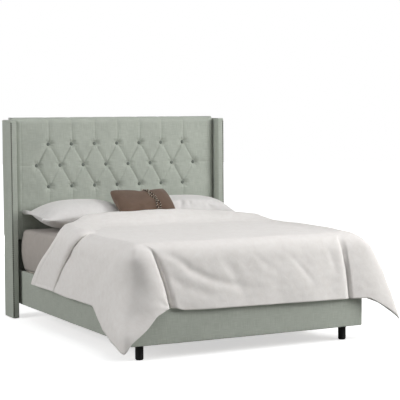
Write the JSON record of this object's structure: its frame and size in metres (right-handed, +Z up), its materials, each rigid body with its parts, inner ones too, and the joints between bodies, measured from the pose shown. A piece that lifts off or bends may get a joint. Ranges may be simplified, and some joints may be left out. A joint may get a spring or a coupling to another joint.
{
  "type": "wingback bed",
  "caption": "Free-standing upholstered wingback bed: tufted headboard between nail-trimmed wings, padded rails on legs, with box spring, mattress and bedding.",
  "frame": {"origin": "on the floor, at the centre of the underside of the middle levelling foot, which stands halfway along the bed frame and midway between its rails", "axes": "+X across the bed, to the right of someone who stands at its foot and faces the headboard; +Y along the bed, towards the headboard; +Z up"},
  "size_m": [1.8488, 2.344, 1.435],
  "materials": {
    "upholstery_linen": "matte",
    "back_cloth": "matte",
    "nail_pewter": "satin",
    "frame_timber": "satin",
    "panel_plywood": "satin",
    "leg_black": "satin",
    "glide_nylon": "matte",
    "hardware_steel": "satin",
    "support_steel": "satin",
    "leveller_plastic": "matte",
    "box_spring_cloth": "matte",
    "mattress_ticking": "matte",
    "sheet_cotton": "matte",
    "duvet_cotton": "matte",
    "pillow_cotton": "matte",
    "lumbar_cloth": "matte",
    "lumbar_braid": "matte"
  },
  "bodies": {
    "bed": {"headboard_pad": "upholstery_linen", "tufting_buttons": "upholstery_linen", "headboard_lower_cover": "upholstery_linen", "left_wing_cover": "upholstery_linen", "right_wing_cover": "upholstery_linen", "left_side_rail_cover": "upholstery_linen", "right_side_rail_cover": "upholstery_linen", "foot_rail_cover": "upholstery_linen", "headboard_back_cover": "back_cloth", "left_nail_trim": "nail_pewter", "right_nail_trim": "nail_pewter", "headboard_frame": "frame_timber", "left_wing_frame": "frame_timber", "right_wing_frame": "frame_timber", "left_side_rail_board": "frame_timber", "right_side_rail_board": "frame_timber", "foot_rail_board": "frame_timber", "left_corner_block": "frame_timber", "right_corner_block": "frame_timber", "left_slat_cleat": "frame_timber", "right_slat_cleat": "frame_timber", "cross_slats": "frame_timber", "headboard_panel": "panel_plywood", "left_foot_leg": "leg_black", "right_foot_leg": "leg_black", "wing_glides": "glide_nylon", "leg_glides": "glide_nylon", "left_head_bracket": "hardware_steel", "right_head_bracket": "hardware_steel", "wing_bolts": "hardware_steel", "head_bracket_bolts": "hardware_steel", "corner_block_bolts": "hardware_steel", "hanger_bolts": "hardware_steel", "leg_ferrules": "hardware_steel", "support_legs": "support_steel", "box_spring": "box_spring_cloth", "mattress": "mattress_ticking", "fitted_sheet": "sheet_cotton", "duvet": "duvet_cotton", "duvet_turnback": "duvet_cotton", "left_pillow": "pillow_cotton", "right_pillow": "pillow_cotton", "lumbar_pillow": "lumbar_cloth", "lumbar_trim": "lumbar_braid"},
    "foot_leveller": {"foot_levelling_foot": "leveller_plastic"},
    "middle_leveller": {"middle_levelling_foot": "leveller_plastic"},
    "head_leveller": {"head_levelling_foot": "leveller_plastic"}
  },
  "joints": [
    {"name": "foot_leveller_travel", "type": "slide", "parent": "bed", "child": "foot_leveller", "axis": [0, 0, 1], "range_m": [-0.02, 0.015]},
    {"name": "middle_leveller_travel", "type": "slide", "parent": "bed", "child": "middle_leveller", "axis": [0, 0, 1], "range_m": [-0.02, 0.015]},
    {"name": "head_leveller_travel", "type": "slide", "parent": "bed", "child": "head_leveller", "axis": [0, 0, 1], "range_m": [-0.02, 0.015]}
  ]
}
